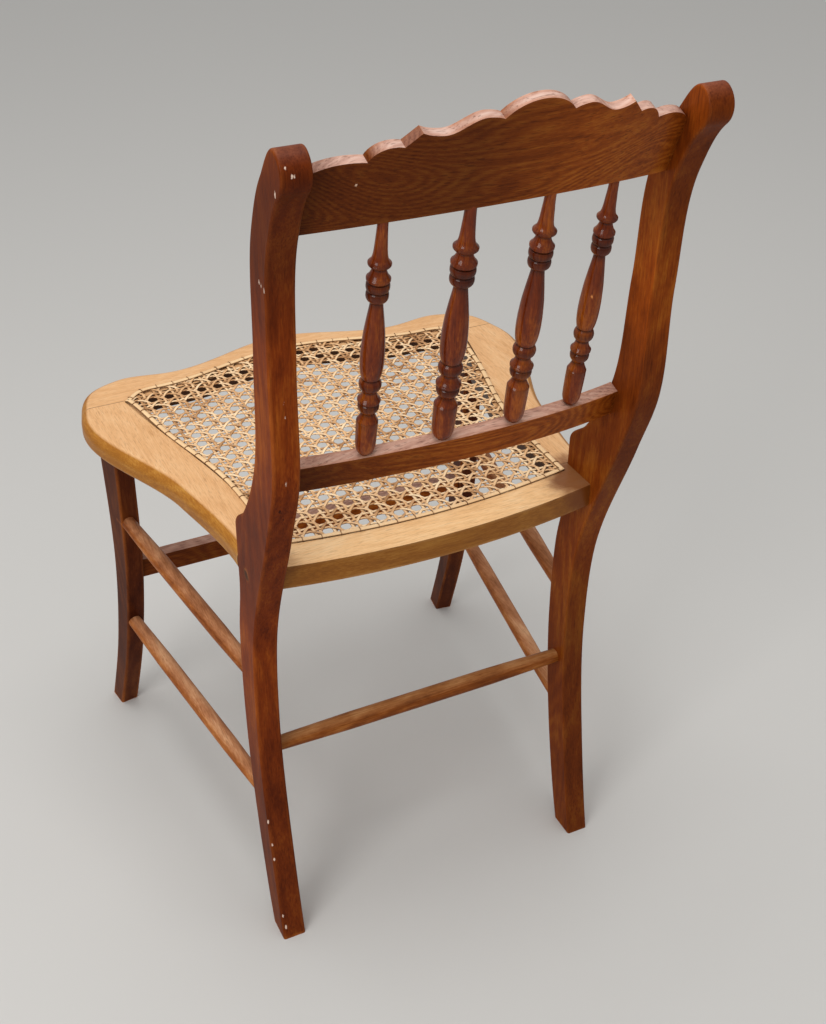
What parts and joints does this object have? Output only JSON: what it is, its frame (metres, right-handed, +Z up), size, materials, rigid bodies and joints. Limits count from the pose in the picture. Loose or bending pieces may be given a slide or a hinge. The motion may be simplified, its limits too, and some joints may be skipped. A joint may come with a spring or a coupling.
{
  "type": "cane seat side chair",
  "caption": "Wooden side chair with a woven cane seat in a shaped frame, turned back spindles, a scalloped bowed crest rail, sabre legs and round stretchers.",
  "frame": {"origin": "on the floor, at the middle of the whole chair's width and depth", "axes": "+Z up, -Y towards the front of the seat, +X to the sitter's left"},
  "size_m": [0.4712, 0.5342, 0.8407],
  "materials": {
    "dark_stained_wood": "dark red-brown stain under worn satin varnish",
    "seat_wood": "clear varnished honey-coloured wood, satin",
    "worn_stained_wood": "orange-brown stain worn through to pale wood, satin",
    "cane": "natural split cane with a glossy bark side",
    "screw_steel": "plain steel"
  },
  "bodies": {
    "root": {"rear_post_left": "dark_stained_wood", "rear_post_right": "dark_stained_wood", "crest_rail": "dark_stained_wood", "lower_back_rail": "dark_stained_wood", "front_leg_left": "dark_stained_wood", "front_leg_right": "dark_stained_wood", "spindle_1": "dark_stained_wood", "spindle_2": "dark_stained_wood", "spindle_3": "dark_stained_wood", "spindle_4": "dark_stained_wood", "screw_plugs": "dark_stained_wood", "seat_front_rail": "seat_wood", "seat_rear_rail": "seat_wood", "seat_left_rail": "seat_wood", "seat_right_rail": "seat_wood", "seat_dowels": "seat_wood", "front_stretcher": "worn_stained_wood", "rear_stretcher": "worn_stained_wood", "left_upper_stretcher": "worn_stained_wood", "left_lower_stretcher": "worn_stained_wood", "right_upper_stretcher": "worn_stained_wood", "right_lower_stretcher": "worn_stained_wood", "cane_panel": "cane", "cane_binder": "cane", "post_screws": "screw_steel"}
  },
  "joints": []
}
